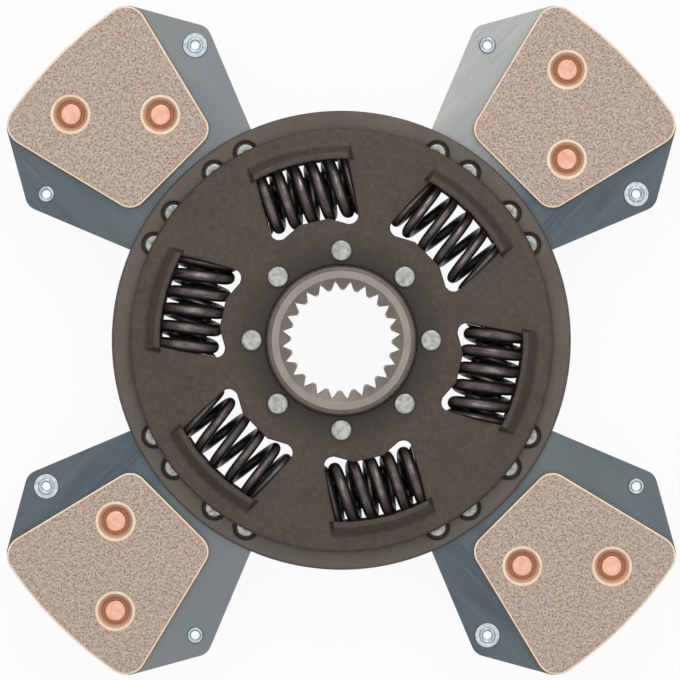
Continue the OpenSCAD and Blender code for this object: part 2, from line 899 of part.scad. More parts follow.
module light_spring(angle) {
    color(spring_black)
    at_window(angle)
    coil_spring(light_l, light_d, light_wire, light_turns, light_closed_share, true);
}

hub();
front_cover_plate();
rear_cover_plate();
hub_rivets();
front_friction_washer();
rear_friction_washer();
disc_spring();
front_driven_plate();
rear_driven_plate();
paddle_rivets();
eyelets();
pad_rivets();
paddle_sheet(paddle_angles[0], true);  // front_paddle_sheet_1
paddle_sheet(paddle_angles[1], true);  // front_paddle_sheet_2
paddle_sheet(paddle_angles[2], true);  // front_paddle_sheet_3
paddle_sheet(paddle_angles[3], true);  // front_paddle_sheet_4
paddle_sheet(paddle_angles[0], false);  // rear_paddle_sheet_1
paddle_sheet(paddle_angles[1], false);  // rear_paddle_sheet_2
paddle_sheet(paddle_angles[2], false);  // rear_paddle_sheet_3
paddle_sheet(paddle_angles[3], false);  // rear_paddle_sheet_4
pad_cup(paddle_angles[0], true);  // front_pad_cup_1
pad_cup(paddle_angles[1], true);  // front_pad_cup_2
pad_cup(paddle_angles[2], true);  // front_pad_cup_3
pad_cup(paddle_angles[3], true);  // front_pad_cup_4
pad_cup(paddle_angles[0], false);  // rear_pad_cup_1
pad_cup(paddle_angles[1], false);  // rear_pad_cup_2
pad_cup(paddle_angles[2], false);  // rear_pad_cup_3
pad_cup(paddle_angles[3], false);  // rear_pad_cup_4
friction_pad(paddle_angles[0], true);  // front_friction_pad_1
friction_pad(paddle_angles[1], true);  // front_friction_pad_2
friction_pad(paddle_angles[2], true);  // front_friction_pad_3
friction_pad(paddle_angles[3], true);  // front_friction_pad_4
friction_pad(paddle_angles[0], false);  // rear_friction_pad_1
friction_pad(paddle_angles[1], false);  // rear_friction_pad_2
friction_pad(paddle_angles[2], false);  // rear_friction_pad_3
friction_pad(paddle_angles[3], false);  // rear_friction_pad_4
heavy_spring(heavy_angles[0]);  // heavy_spring_1
heavy_spring(heavy_angles[1]);  // heavy_spring_2
heavy_spring(heavy_angles[2]);  // heavy_spring_3
heavy_spring(heavy_angles[3]);  // heavy_spring_4
inner_spring(heavy_angles[0]);  // inner_spring_1
inner_spring(heavy_angles[1]);  // inner_spring_2
inner_spring(heavy_angles[2]);  // inner_spring_3
inner_spring(heavy_angles[3]);  // inner_spring_4
light_spring(light_angles[0]);  // light_spring_1
light_spring(light_angles[1]);  // light_spring_2
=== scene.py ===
"""Finishes, coil springs and studio for a clutch disc, laid out as a Blender add-on.

The disc lies on its hub's long end and is seen from straight above. Lengths are metres.
"""

import math
from collections import namedtuple

import bmesh
import bpy
from bpy.props import FloatProperty, FloatVectorProperty, IntProperty, PointerProperty
from mathutils import Matrix, Vector


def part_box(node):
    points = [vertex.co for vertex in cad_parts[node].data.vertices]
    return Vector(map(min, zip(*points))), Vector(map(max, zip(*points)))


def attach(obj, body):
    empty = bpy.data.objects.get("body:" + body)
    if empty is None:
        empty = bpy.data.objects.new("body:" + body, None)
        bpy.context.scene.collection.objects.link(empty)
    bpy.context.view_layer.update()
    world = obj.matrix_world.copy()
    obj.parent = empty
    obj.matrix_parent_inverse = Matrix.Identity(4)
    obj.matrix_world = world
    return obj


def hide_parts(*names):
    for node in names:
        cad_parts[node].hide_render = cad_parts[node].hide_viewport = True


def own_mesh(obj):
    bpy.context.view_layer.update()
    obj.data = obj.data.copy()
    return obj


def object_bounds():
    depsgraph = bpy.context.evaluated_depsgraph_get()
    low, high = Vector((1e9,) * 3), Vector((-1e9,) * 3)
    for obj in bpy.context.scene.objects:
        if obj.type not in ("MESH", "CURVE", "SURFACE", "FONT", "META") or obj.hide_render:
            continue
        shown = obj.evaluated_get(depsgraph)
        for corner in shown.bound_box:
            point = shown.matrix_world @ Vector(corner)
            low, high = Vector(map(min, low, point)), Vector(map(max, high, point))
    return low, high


bl_info = {
    "name": "Clutch Disc Finishes",
    "version": (1, 0, 0),
    "blender": (4, 5, 0),
    "location": "3D Viewport > Sidebar > Clutch Disc",
    "description": "Finishes, damper springs and studio of a clutch disc",
    "category": "Object",
}

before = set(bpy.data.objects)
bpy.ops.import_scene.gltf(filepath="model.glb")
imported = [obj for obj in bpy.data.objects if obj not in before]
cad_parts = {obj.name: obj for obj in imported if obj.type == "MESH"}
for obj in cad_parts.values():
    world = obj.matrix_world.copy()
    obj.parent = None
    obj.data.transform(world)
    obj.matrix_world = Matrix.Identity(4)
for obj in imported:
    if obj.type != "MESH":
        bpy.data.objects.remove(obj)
CAD_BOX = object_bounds()

MM = 0.001
PADDLE_ANGLES = (45, 135, 225, 315)
# Painted highlight: how much paler each paddle is painted toward one of its sides, where the lamps'
# reflection falls, and which side that is
PADDLE_SHEEN = ((0.85, 1), (0.35, -1), (0.25, 1), (0.08, 1))
# Places across a paddle between which the painted highlight comes in
SHEEN_START_ACROSS = -12 * MM
SHEEN_FULL_ACROSS = 34 * MM

# Heights over the disc's middle in a rivet sink: its floor, where the painted shade on the floor ends,
# where the redder and darker slope ends
SINK_FLOOR_Z = 2.0 * MM
SHADE_TOP_Z = 2.4 * MM
REDDISH_Z = 4.6 * MM

# How far out from the axis the plates are drawn darker toward the hub, and the share of it that is full
# dark
HUB_DARK_R = 42 * MM
HUB_DARK_FULL_SHARE = 0.7

# How deep the turned skin reaches under the hub's end faces: bright at first, and where it ends
BRIGHT_SKIN = 0.04 * MM
TURNED_SKIN = 0.12 * MM

# A spring's wire starts this share of its thickness beyond the ground end
START_SHARE = 0.25
# Half turns of each kind of spring: closed, open, and closed again
HEAVY_HALF_TURNS = (1, 10, 1)
INNER_HALF_TURNS = (2, 15, 2)
LIGHT_HALF_TURNS = (2, 8, 1)
# Edges sharper than this are drawn as edges
CREASE = math.radians(40)

FLOOR_GAP = 0.1 * MM
SENSOR_WIDTH_MM = 36.0
VIEW_DEPTH = 100.0

# The photograph: a straight-down view, with the hub's axis at this pixel
PHOTO_PX = 680
PHOTO_AXIS_PX = (341.3, 340.3)
PHOTO_MM_PER_PX = 0.3856
PHOTO_PLANE_Z = 7 * MM

# Sockets of the Mix node when it mixes colours
MIX_FACTOR, MIX_A, MIX_B, MIX_RESULT = 0, 6, 7, 2


def linear(hex_colour):
    """An sRGB hex colour as linear RGBA."""
    values = [int(hex_colour[i : i + 2], 16) / 255 for i in (1, 3, 5)]
    return [v / 12.92 if v <= 0.04045 else ((v + 0.055) / 1.055) ** 2.4 for v in values] + [1.0]


def pattern_scale(size_mm):
    """The Scale of a noise or cell texture whose features are about this size on the object."""
    return 1 / (size_mm * MM)


def ring_scale(spacing_mm):
    """The Scale of a ring wave whose rings are this far apart: it has one ring each 2 pi / 20 units."""
    return 2 * math.pi / 20 / (spacing_mm * MM)


# Materials


def add_node(material, kind, inputs=None, output=0, **settings):
    """Adds a node with its settings and its inputs, values or sockets, and gives one output."""
    tree = material.node_tree
    node = tree.nodes.new(kind)
    for name, value in settings.items():
        setattr(node, name, value)
    for name, value in (inputs or {}).items():
        if isinstance(value, bpy.types.NodeSocket):
            tree.links.new(value, node.inputs[name])
        else:
            node.inputs[name].default_value = value
    return node.outputs[output] if node.outputs else None


def new_material(name):
    """A material with no nodes yet."""
    material = bpy.data.materials.new(name)
    material.use_nodes = True
    material.node_tree.nodes.clear()
    return material


def finished(material, inputs):
    """Puts a Principled surface with these inputs on the material."""
    shader = add_node(material, "ShaderNodeBsdfPrincipled", inputs)
    add_node(material, "ShaderNodeOutputMaterial", {"Surface": shader})
    return material


def turned_place(material, angle, along, across):
    """The place in a frame turned by an angle in degrees, stretched along and across."""
    place = add_node(material, "ShaderNodeTexCoord", output="Object")
    turned = add_node(
        material,
        "ShaderNodeMapping",
        {"Vector": place, "Rotation": (0, 0, math.radians(angle))},
        vector_type="TEXTURE",
    )
    return add_node(
        material,
        "ShaderNodeMapping",
        {"Vector": turned, "Scale": (along, across, 1)},
        vector_type="POINT",
    )


def patches(material, place, size_mm, detail, low, high, new_low=0.0, new_high=1.0, roughness=0.5):
    """Soft irregular patches of about this size, sharpened from one range to another."""
    blotches = add_node(
        material,
        "ShaderNodeTexNoise",
        {
            "Vector": place,
            "Scale": pattern_scale(size_mm),
            "Detail": detail,
            "Roughness": roughness,
        },
    )
    return add_node(
        material,
        "ShaderNodeMapRange",
        {
            "Value": blotches,
            "From Min": low,
            "From Max": high,
            "To Min": new_low,
            "To Max": new_high,
        },
    )


def coated(material, base, *coats):
    """A base colour under coats of other colours, each laid on by its own amount."""
    for amount, colour in coats:
        base = add_node(
            material,
            "ShaderNodeMix",
            {MIX_FACTOR: amount, MIX_A: base, MIX_B: colour},
            MIX_RESULT,
            data_type="RGBA",
        )
    return base


def worn_relief(material, height, depth_mm, edge_mm):
    """A normal with this relief, over edges rounded as tumbling or plating rounds them."""
    edge = add_node(material, "ShaderNodeBevel", {"Radius": edge_mm * MM}, samples=6)
    return add_node(
        material,
        "ShaderNodeBump",
        {"Height": height, "Distance": depth_mm * MM, "Strength": 1.0, "Normal": edge},
    )


def phosphated_steel(name, colours, coat_colour, oiled_colour):
    """Pressed steel with a manganese phosphate coat, then oiled.

    The coat's fine crystals scatter the light, so it is dark, brown-grey and satin, with
    cloudy patches where the oil lies thicker. It is drawn darker toward the hub.
    """
    material = new_material(name)
    place = add_node(material, "ShaderNodeTexCoord", output="Object")
    clouds = patches(material, place, 14, 3, 0.35, 0.65)
    dust = patches(material, place, 2.2, 4, 0.35, 0.7, 0.0, 0.18, roughness=0.6)
    # The crystals are hundredths of a millimetre wide, and drawn 0.45 mm wide so that they show
    crystals = add_node(
        material, "ShaderNodeTexNoise", {"Vector": place, "Scale": pattern_scale(0.45), "Detail": 2}
    )
    flat_place = add_node(
        material, "ShaderNodeVectorMath", {0: place, 1: (1, 1, 0)}, operation="MULTIPLY"
    )
    axis_distance = add_node(
        material, "ShaderNodeVectorMath", {0: flat_place}, "Value", operation="LENGTH"
    )
    # The plates are drawn darker toward the hub
    hub_darkening = add_node(
        material,
        "ShaderNodeMapRange",
        {
            "Value": axis_distance,
            "From Min": HUB_DARK_R * HUB_DARK_FULL_SHARE,
            "From Max": HUB_DARK_R,
            "To Min": 0.9,
            "To Max": 0.0,
        },
    )
    roughness = add_node(
        material,
        "ShaderNodeMapRange",
        {"Value": crystals, "From Min": 0.3, "From Max": 0.7, "To Min": 0.42, "To Max": 0.56},
    )
    colour = coated(
        material,
        coat_colour,
        (clouds, oiled_colour),
        (dust, colours.dust),
        (hub_darkening, colours.hub_darkening),
    )
    return finished(
        material,
        {
            "Base Color": colour,
            "Metallic": 0.35,
            "Roughness": roughness,
            "Normal": worn_relief(material, crystals, 0.02, 1.2),
        },
    )


def turned_steel(name, colours, ends):
    """Forged steel hub, hardened dark and oiled, with its two end faces turned bright.

    The tool leaves fine rings round the axis, which draw the light out into arcs.
    """
    material = new_material(name)
    place = add_node(material, "ShaderNodeTexCoord", output="Object")
    # A feed of 0.2 mm is too fine to show, so the rings are drawn 0.6 mm apart
    rings = add_node(
        material,
        "ShaderNodeTexWave",
        {
            "Vector": place,
            "Scale": ring_scale(0.6),
            "Distortion": 1.2,
            "Detail": 2.0,
            "Detail Scale": 3.0,
        },
        "Fac",
        wave_type="RINGS",
        rings_direction="Z",
    )
    height = add_node(material, "ShaderNodeSeparateXYZ", {0: place}, "Z")
    low, high = ends
    upper = add_node(
        material,
        "ShaderNodeMapRange",
        {"Value": height, "From Min": high - TURNED_SKIN, "From Max": high - BRIGHT_SKIN},
    )
    lower = add_node(
        material,
        "ShaderNodeMapRange",
        {
            "Value": height,
            "From Min": low + BRIGHT_SKIN,
            "From Max": low + TURNED_SKIN,
            "To Min": 1.0,
            "To Max": 0.0,
        },
    )
    turned = add_node(material, "ShaderNodeMath", {0: upper, 1: lower}, operation="MAXIMUM")
    stains = patches(material, place, 9, 3, 0.35, 0.7)
    clouds = patches(material, place, 5, 3, 0.35, 0.7)
    bright = coated(material, colours.turned, (stains, colours.turned_stain))
    metallic = add_node(
        material, "ShaderNodeMapRange", {"Value": turned, "To Min": 0.3, "To Max": 1.0}
    )
    roughness = add_node(
        material, "ShaderNodeMapRange", {"Value": rings, "To Min": 0.36, "To Max": 0.46}
    )
    relief = add_node(
        material, "ShaderNodeBump", {"Height": rings, "Distance": 0.006 * MM, "Strength": 1.0}
    )
    return finished(
        material,
        {
            "Base Color": coated(
                material, colours.hardened, (clouds, colours.hardened_cloud), (turned, bright)
            ),
            "Metallic": metallic,
            "Roughness": roughness,
            "Normal": relief,
        },
    )


def zinc_plate(name, zinc_colour, cloud_colour):
    """Zinc electroplated on headed steel: pale, a little cloudy, with rounded edges."""
    material = new_material(name)
    place = add_node(material, "ShaderNodeTexCoord", output="Object")
    clouds = patches(material, place, 1.6, 3, 0.3, 0.7)
    orange_peel = add_node(
        material, "ShaderNodeTexNoise", {"Vector": place, "Scale": pattern_scale(0.5), "Detail": 2}
    )
    roughness = add_node(
        material, "ShaderNodeMapRange", {"Value": clouds, "To Min": 0.34, "To Max": 0.5}
    )
    return finished(
        material,
        {
            "Base Color": coated(material, zinc_colour, (clouds, cloud_colour)),
            "Metallic": 1.0,
            "Roughness": roughness,
            "Normal": worn_relief(material, orange_peel, 0.02, 0.3),
        },
    )


def tempered_sheet(name, colours, angle, sheen_amount, sheen_side):
    """Cold-rolled spring steel sheet, tempered to a blue-grey oxide.

    Rolling leaves fine streaks along the paddle, and the oxide shifts from blue to straw
    grey. Each sheet is also painted paler toward one side, more on some than others: a painted
    highlight where the lamps' reflection falls.
    """
    material = new_material(name)
    place = add_node(material, "ShaderNodeTexCoord", output="Object")
    # Rolling streaks are finer, and drawn 0.5 mm wide so that they show, and thirty times as long
    streaks = add_node(
        material,
        "ShaderNodeTexNoise",
        {
            "Vector": turned_place(material, angle, 1 / 30, 1.0),
            "Scale": pattern_scale(0.5),
            "Detail": 3,
        },
    )
    bands = patches(material, turned_place(material, angle, 1 / 8, 1.0), 7, 2, 0.4, 0.7, 0.0, 0.22)
    clouds = patches(material, place, 60, 2, 0.38, 0.62)
    across = add_node(
        material, "ShaderNodeSeparateXYZ", {0: turned_place(material, angle, 1.0, 1.0)}, "Y"
    )
    # Painted highlight: each paddle is drawn paler toward one side
    painted_sheen = add_node(
        material,
        "ShaderNodeMapRange",
        {
            "Value": across,
            "From Min": SHEEN_START_ACROSS * sheen_side,
            "From Max": SHEEN_FULL_ACROSS * sheen_side,
            "To Max": sheen_amount,
        },
    )
    streaked = add_node(
        material,
        "ShaderNodeMapRange",
        {"Value": streaks, "From Min": 0.35, "From Max": 0.7, "To Max": 0.22},
    )
    roughness = add_node(
        material,
        "ShaderNodeMapRange",
        {"Value": streaks, "From Min": 0.3, "From Max": 0.7, "To Min": 0.3, "To Max": 0.46},
    )
    colour = coated(
        material,
        colours.oxide,
        (clouds, colours.oxide_straw),
        (painted_sheen, colours.oxide_sheen),
        (bands, colours.oxide_band),
        (streaked, colours.oxide_streak),
    )
    return finished(
        material,
        {
            "Base Color": colour,
            "Metallic": 1.0,
            "Roughness": roughness,
            "Normal": worn_relief(material, streaks, 0.01, 0.2),
        },
    )


def copper_plate(name, colours):
    """Copper flashed on the pressed backing cup, then bleached pale by the sintering furnace.

    The copper is painted redder and darker down the slopes of the rivet sinks, partly its own redder
    plating and partly painted shade, and the sinks' floors are painted dark brown as shade.
    """
    material = new_material(name)
    place = add_node(material, "ShaderNodeTexCoord", output="Object")
    z = add_node(material, "ShaderNodeSeparateXYZ", {0: place}, "Z")
    height = add_node(material, "ShaderNodeMath", {0: z}, operation="ABSOLUTE")
    flames = patches(material, place, 6, 3, 0.35, 0.65, 0.0, 0.35)
    # Redder and darker down the sinks' slopes: partly the plating's own colour, partly painted shade
    sunk = add_node(
        material,
        "ShaderNodeMapRange",
        {
            "Value": height,
            "From Min": SINK_FLOOR_Z,
            "From Max": REDDISH_Z,
            "To Min": 1.0,
            "To Max": 0.0,
        },
    )
    reddish = add_node(material, "ShaderNodeMath", {0: flames, 1: sunk}, operation="MAXIMUM")
    # Painted shade on the floors of the rivet sinks
    sink_shade = add_node(
        material,
        "ShaderNodeMapRange",
        {
            "Value": height,
            "From Min": SINK_FLOOR_Z,
            "From Max": SHADE_TOP_Z,
            "To Min": 0.85,
            "To Max": 0.0,
        },
    )
    edge = add_node(material, "ShaderNodeBevel", {"Radius": 0.25 * MM}, samples=6)
    return finished(
        material,
        {
            "Base Color": coated(
                material, colours.cup, (reddish, colours.cup_flame), (sink_shade, colours.sink_shade)
            ),
            "Metallic": 0.4,
            "Roughness": patches(material, place, 1.2, 3, 0.3, 0.7, 0.34, 0.5),
            "Normal": edge,
        },
    )


def copper_rivet(name, colours):
    """Copper-plated rivet heads, struck smooth: bright and pink."""
    material = new_material(name)
    place = add_node(material, "ShaderNodeTexCoord", output="Object")
    clouds = patches(material, place, 2.5, 2, 0.3, 0.7)
    struck = add_node(
        material, "ShaderNodeTexNoise", {"Vector": place, "Scale": pattern_scale(0.8), "Detail": 2}
    )
    return finished(
        material,
        {
            "Base Color": coated(material, colours.rivet, (clouds, colours.rivet_cloud)),
            "Metallic": 1.0,
            "Roughness": 0.36,
            "Normal": worn_relief(material, struck, 0.02, 0.25),
        },
    )


def sintered_bronze(name, colours):
    """Sintered bronze with graphite and ceramic grit, ground flat.

    Ground bronze is beige pink; graphite shows as dark grains and open pores, and the
    grit as pale ones.
    """
    material = new_material(name)
    place = add_node(material, "ShaderNodeTexCoord", output="Object")
    warm = patches(material, place, 11, 3, 0.35, 0.65)
    pores = patches(material, place, 1.7, 3, 0.4, 0.58, 0.3, 0.0, roughness=0.6)
    # Grains of 0.7 mm, drawn coarser than the real 0.3 to 0.5 mm so that they show
    grains = add_node(
        material,
        "ShaderNodeTexNoise",
        {"Vector": place, "Scale": pattern_scale(0.7), "Detail": 2, "Roughness": 0.6},
    )
    dark = add_node(
        material,
        "ShaderNodeMapRange",
        {"Value": grains, "From Min": 0.33, "From Max": 0.5, "To Min": 0.85, "To Max": 0.0},
    )
    pale = add_node(
        material,
        "ShaderNodeMapRange",
        {"Value": grains, "From Min": 0.54, "From Max": 0.7, "To Max": 0.6},
    )
    roughness = add_node(
        material,
        "ShaderNodeMapRange",
        {"Value": grains, "From Min": 0.3, "From Max": 0.7, "To Min": 0.75, "To Max": 0.55},
    )
    relief = add_node(
        material, "ShaderNodeBump", {"Height": grains, "Distance": 0.08 * MM, "Strength": 1.0}
    )
    colour = coated(
        material,
        colours.bronze,
        (warm, colours.bronze_warm),
        (pores, colours.graphite),
        (dark, colours.graphite),
        (pale, colours.grit),
    )
    return finished(
        material, {"Base Color": colour, "Metallic": 0.1, "Roughness": roughness, "Normal": relief}
    )


def friction_compound(name, colours):
    """Moulded friction compound: matt and grey, with short fibres."""
    material = new_material(name)
    place = add_node(material, "ShaderNodeTexCoord", output="Object")
    fibres = add_node(
        material, "ShaderNodeTexNoise", {"Vector": place, "Scale": pattern_scale(0.7), "Detail": 3}
    )
    relief = add_node(
        material, "ShaderNodeBump", {"Height": fibres, "Distance": 0.04 * MM, "Strength": 1.0}
    )
    return finished(
        material,
        {
            "Base Color": coated(material, colours.compound, (fibres, colours.compound_fibre)),
            "Roughness": 0.8,
            "Normal": relief,
        },
    )


def blackened_steel(name, colours):
    """Hardened and oil-blackened steel of the disc spring: dark, with cloudy paler patches."""
    material = new_material(name)
    place = add_node(material, "ShaderNodeTexCoord", output="Object")
    clouds = add_node(
        material, "ShaderNodeTexNoise", {"Vector": place, "Scale": pattern_scale(4), "Detail": 3}
    )
    return finished(
        material,
        {
            "Base Color": coated(material, colours.blackened, (clouds, colours.blackened_cloud)),
            "Metallic": 1.0,
            "Roughness": 0.4,
        },
    )


def spring_wire(name, colours):
    """Oil-tempered spring wire, wound, ground at its ends and dipped in black lacquer.

    Along the outside of the coils it is painted as bare warm-grey steel in streaks: a
    painted highlight, standing in for the lamps' reflection on the crests of the wire.
    """
    material = new_material(name)
    place = add_node(material, "ShaderNodeTexCoord", output="Object")
    wire_place = add_node(material, "ShaderNodeUVMap", uv_map="wire")
    drawn_place = add_node(
        material,
        "ShaderNodeMapping",
        {"Vector": wire_place, "Scale": (1 / 16, 1, 1)},
        vector_type="POINT",
    )
    # The drawn wire's lines are finer, and drawn 0.7 mm wide so that they show
    lines = add_node(
        material,
        "ShaderNodeTexNoise",
        {"Vector": drawn_place, "Scale": pattern_scale(0.7), "Detail": 3},
    )
    outside = add_node(material, "ShaderNodeAttribute", output="Fac", attribute_name="outside")
    # Painted highlight: bright bare steel laid on the outside of the coils, broken into streaks and
    # patches
    crest = add_node(
        material, "ShaderNodeMapRange", {"Value": outside, "From Min": 0.78, "From Max": 1.0}
    )
    highlight_lines = add_node(
        material,
        "ShaderNodeMapRange",
        {"Value": lines, "From Min": 0.4, "From Max": 0.6, "To Min": 0.35, "To Max": 1.0},
    )
    highlight_patches = patches(material, place, 5, 3, 0.35, 0.65, 0.3, 1.0)
    lined = add_node(material, "ShaderNodeMath", {0: crest, 1: highlight_lines}, operation="MULTIPLY")
    painted_highlight = add_node(material, "ShaderNodeMath", {0: lined, 1: highlight_patches}, operation="MULTIPLY")
    roughness = add_node(
        material, "ShaderNodeMapRange", {"Value": painted_highlight, "To Min": 0.42, "To Max": 0.26}
    )
    relief = add_node(
        material, "ShaderNodeBump", {"Height": lines, "Distance": 0.015 * MM, "Strength": 1.0}
    )
    return finished(
        material,
        {
            "Base Color": coated(material, colours.lacquer, (painted_highlight, colours.wire)),
            "Metallic": painted_highlight,
            "Roughness": roughness,
            "Normal": relief,
        },
    )


# Settings that a user would change


def colour_property(name, description, hex_colour):
    """A colour that the user can change, set at first to this sRGB hex colour."""
    return FloatVectorProperty(
        name=name,
        description=description,
        subtype="COLOR",
        size=4,
        min=0.0,
        max=1.0,
        default=linear(hex_colour),
    )


class ClutchDiscColours(bpy.types.PropertyGroup):
    """Colours of the finishes."""

    phosphate: colour_property("Phosphate", "Phosphate coat of the covers", "#463b32")
    phosphate_cloud: colour_property("Phosphate Cloud", "Oilier patches of the covers", "#41372f")
    plate: colour_property("Driven Plates", "Phosphate coat of the driven plates", "#615952")
    plate_cloud: colour_property("Driven Plate Cloud", "Oilier patches of the driven plates", "#595149")
    dust: colour_property("Dust", "Pale specks on the phosphate coats", "#746c63")
    # The colour the plates are drawn darker with toward the hub
    hub_darkening: colour_property("Darkening", "Greasy steel near the hub", "#2a2622")
    turned: colour_property("Turned Steel", "Turned end faces of the hub", "#8f8983")
    turned_stain: colour_property("Turned Stain", "Oil stains on the hub's ends", "#857e78")
    hardened: colour_property("Hardened Steel", "Dark steel of the hub's barrel and teeth", "#8b837a")
    hardened_cloud: colour_property("Hardened Cloud", "Darker patches of the hub", "#7d766d")
    zinc: colour_property("Zinc", "Zinc plate of the rivets", "#b2b3ae")
    zinc_cloud: colour_property("Zinc Cloud", "Duller patches in the zinc plate", "#8e908c")
    passivated: colour_property("Passivated Zinc", "Blue-white zinc plate of the eyelets", "#c6d0d4")
    passivated_cloud: colour_property("Passivated Cloud", "Duller patches of the eyelets", "#a7b2b8")
    oxide: colour_property("Oxide", "Tempered blue-grey of the paddles", "#444f58")
    oxide_straw: colour_property("Straw Oxide", "Straw-grey patches of the paddles", "#51585a")
    # Painted highlight on one side of each paddle
    oxide_sheen: colour_property("Pale Oxide", "Pale sides of the paddles", "#b0b1ab")
    oxide_band: colour_property("Oxide Band", "Broad bands along the paddles", "#6f787d")
    oxide_streak: colour_property("Oxide Streak", "Fine streaks along the paddles", "#848d92")
    cup: colour_property("Copper Plate", "Copper plate of the pads' backing cups", "#eddcc4")
    # Also laid down the sinks' slopes, partly as painted shade
    cup_flame: colour_property("Flame Colour", "Redder copper in the sinks and in patches", "#e0a67c")
    # Painted shade in the bottoms of the rivet sinks
    sink_shade: colour_property("Shade", "Soot in the bottoms of the rivet sinks", "#955f45")
    rivet: colour_property("Copper Rivet", "Heads of the pad rivets", "#e1b29d")
    rivet_cloud: colour_property("Rivet Cloud", "Darker patches of the rivet heads", "#d09b86")
    bronze: colour_property("Bronze", "Ground face of the friction pads", "#c9b4a6")
    bronze_warm: colour_property("Warm Bronze", "Pinker patches of the friction pads", "#ccb4a3")
    graphite: colour_property("Graphite", "Dark grains in the friction pads", "#75645c")
    grit: colour_property("Grit", "Pale grains in the friction pads", "#e3d3c4")
    compound: colour_property("Compound", "Friction washers", "#3c3b39")
    compound_fibre: colour_property("Compound Fibre", "Fibres in the friction washers", "#5c5a56")
    blackened: colour_property("Blackened Steel", "Disc spring", "#34302e")
    blackened_cloud: colour_property("Blackened Cloud", "Paler patches of the disc spring", "#4a4542")
    lacquer: colour_property("Lacquer", "Black lacquer on the springs", "#14110f")
    # Painted highlight on the crests of the coils
    wire: colour_property("Spring Wire", "Steel that shows where the lacquer is rubbed", "#9b918a")


class ClutchDiscSprings(bpy.types.PropertyGroup):
    """Sizes of the damper springs."""

    heavy_wire: FloatProperty(
        name="Heavy Wire",
        description="Wire of the four heavy springs",
        default=4.8 * MM,
        unit="LENGTH",
    )
    heavy_outside: FloatProperty(
        name="Heavy Diameter",
        description="Outside of a heavy spring",
        default=25.4 * MM,
        unit="LENGTH",
    )
    inner_wire: FloatProperty(
        name="Inner Wire", description="Wire of the springs inside", default=2.6 * MM, unit="LENGTH"
    )
    inner_outside: FloatProperty(
        name="Inner Diameter",
        description="Outside of an inner spring",
        default=14.6 * MM,
        unit="LENGTH",
    )
    light_wire: FloatProperty(
        name="Light Wire",
        description="Wire of the two light springs",
        default=3.9 * MM,
        unit="LENGTH",
    )
    light_outside: FloatProperty(
        name="Light Diameter",
        description="Outside of a light spring",
        default=25 * MM,
        unit="LENGTH",
    )
    heavy_closed: FloatProperty(
        name="Heavy Closed Step",
        description="Advance of a closed half turn, as a share of the wire",
        default=0.28,
    )
    inner_closed: FloatProperty(
        name="Inner Closed Step",
        description="Advance of a closed half turn, as a share of the wire",
        default=0.53,
    )
    light_closed: FloatProperty(
        name="Light Closed Step",
        description="Advance of a closed half turn, as a share of the wire",
        default=0.466,
    )
    steps_per_turn: IntProperty(
        name="Steps per Turn",
        description="Rings of the mesh in one turn of wire",
        default=72,
        min=24,
    )


class ClutchDiscEyelets(bpy.types.PropertyGroup):
    """Places and sizes of the rolled rims on the eyelets."""

    along: FloatProperty(
        name="Along",
        description="Place of an eyelet along its paddle",
        default=120.7 * MM,
        unit="LENGTH",
    )
    across: FloatProperty(
        name="Across",
        description="Place of an eyelet across its paddle",
        default=40.75 * MM,
        unit="LENGTH",
    )
    roll_radius: FloatProperty(
        name="Roll Radius", description="Middle of the rolled rim", default=2.5 * MM, unit="LENGTH"
    )
    roll_width: FloatProperty(
        name="Roll Width", description="Width of the rolled rim", default=1.3 * MM, unit="LENGTH"
    )
    roll_height: FloatProperty(
        name="Roll Height",
        description="Height of the rolled rim over the flange",
        default=0.4 * MM,
        unit="LENGTH",
    )


class ClutchDiscStage(bpy.types.PropertyGroup):
    """Floor, lamps and camera."""

    camera_height: FloatProperty(
        name="Camera Height",
        description="Height of the camera over the disc",
        default=1.6,
        unit="LENGTH",
    )
    lamp_height: FloatProperty(
        name="Lamp Height", description="Height of the soft lamp", default=1.1, unit="LENGTH"
    )
    lamp_size: FloatProperty(
        name="Lamp Size", description="Side of the soft lamp", default=1.5, unit="LENGTH"
    )
    lamp_power: FloatProperty(
        name="Lamp Power", description="Power of the soft lamp", default=7.0, unit="POWER"
    )
    side_place: FloatVectorProperty(
        name="Side Place",
        description="Place of the lamp behind the disc",
        subtype="TRANSLATION",
        unit="LENGTH",
        default=(0.15, 1.05, 0.95),
    )
    side_size: FloatProperty(
        name="Side Size", description="Side of the lamp behind the disc", default=0.8, unit="LENGTH"
    )
    side_power: FloatProperty(
        name="Side Power",
        description="Power of the lamp behind the disc",
        default=5.5,
        unit="POWER",
    )
    world_strength: FloatProperty(
        name="Room Light", description="Strength of the light from all round", default=0.4
    )
    floor_radius: FloatProperty(
        name="Floor Radius", description="Radius of the pale floor", default=8.0, unit="LENGTH"
    )


# Coil springs


def spring_frame(node):
    """Middle of a spring's node, and its axis, outward and upward directions."""
    low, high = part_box(node)
    middle = (low + high) / 2
    outward = Vector((middle.x, middle.y, 0)).normalized()
    clockwise = Vector((outward.y, -outward.x, 0))
    return Vector((middle.x, middle.y, 0)), clockwise, outward, Vector((0, 0, 1))


# How one kind of spring is wound, sides being the sides of the wire's mesh
Coil = namedtuple("Coil", "outside wire half_turns closed_share starts_in_front left_hand sides")


def wound_line(length, coil, steps_per_turn):
    """Turn angles in degrees and places along the axis of a spring with closed ends."""
    lead, active, tail = coil.half_turns
    closed = coil.wire * coil.closed_share
    over = coil.wire * START_SHARE
    count = lead + active + tail
    pace = (length + 2 * over - (lead + tail) * closed) / active
    line = []
    steps = steps_per_turn // 2
    x = -length / 2 - over
    for half_turn in range(count):
        step = closed if half_turn < lead or half_turn >= lead + active else pace
        for i in range(steps):
            line.append((180 * (half_turn + i / steps), x + step * i / steps))
        x += step
    line.append((180 * count, x))
    return line


